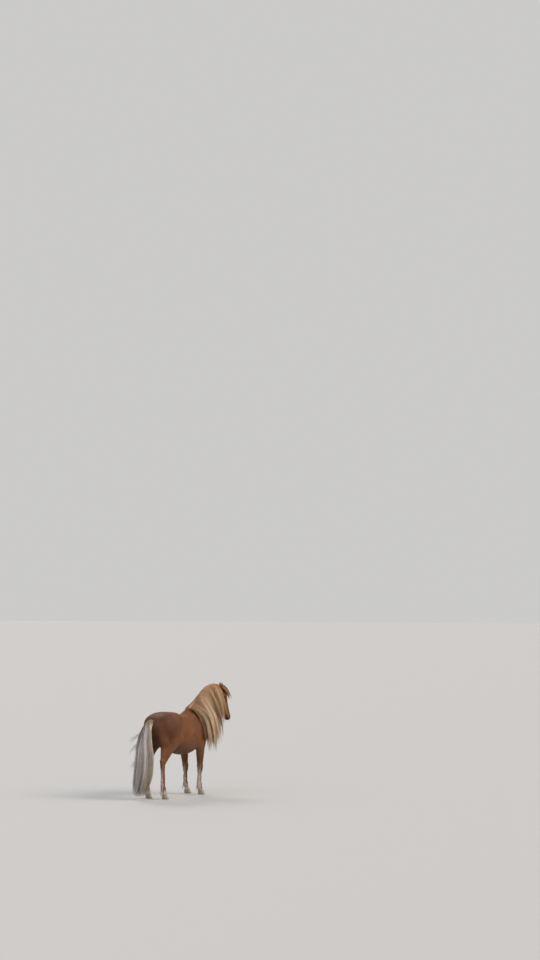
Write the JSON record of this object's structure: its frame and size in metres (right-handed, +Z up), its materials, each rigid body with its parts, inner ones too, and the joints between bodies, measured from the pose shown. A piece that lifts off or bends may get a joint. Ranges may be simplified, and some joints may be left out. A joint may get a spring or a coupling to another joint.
{
  "type": "icelandic horse",
  "caption": "Life-size still model of a standing long-maned horse, head turned to its right, with a full mane, forelock, tail and feathered fetlocks, on four flat hooves.",
  "frame": {"origin": "on the floor under the middle of the bounding box, from the tail to the forehead and between the two sides", "axes": "+X towards the breast, +Y to the horse's left, +Z up"},
  "size_m": [1.9967, 0.8324, 1.7978],
  "materials": {
    "chestnut_coat": "short soft fur",
    "flaxen_hair": "long coarse hair",
    "hoof_horn": "matte horn",
    "eye": "wet gloss"
  },
  "bodies": {
    "root": {"torso": "chestnut_coat", "neck": "flaxen_hair", "head": "chestnut_coat", "ear_left": "chestnut_coat", "ear_right": "chestnut_coat", "eye_left": "eye", "eye_right": "eye", "tail": "flaxen_hair", "foreleg_left": "chestnut_coat", "foreleg_right": "chestnut_coat", "hindleg_left": "chestnut_coat", "hindleg_right": "chestnut_coat", "hoof_fore_left": "hoof_horn", "hoof_fore_right": "hoof_horn", "hoof_hind_left": "hoof_horn", "hoof_hind_right": "hoof_horn"}
  },
  "joints": []
}
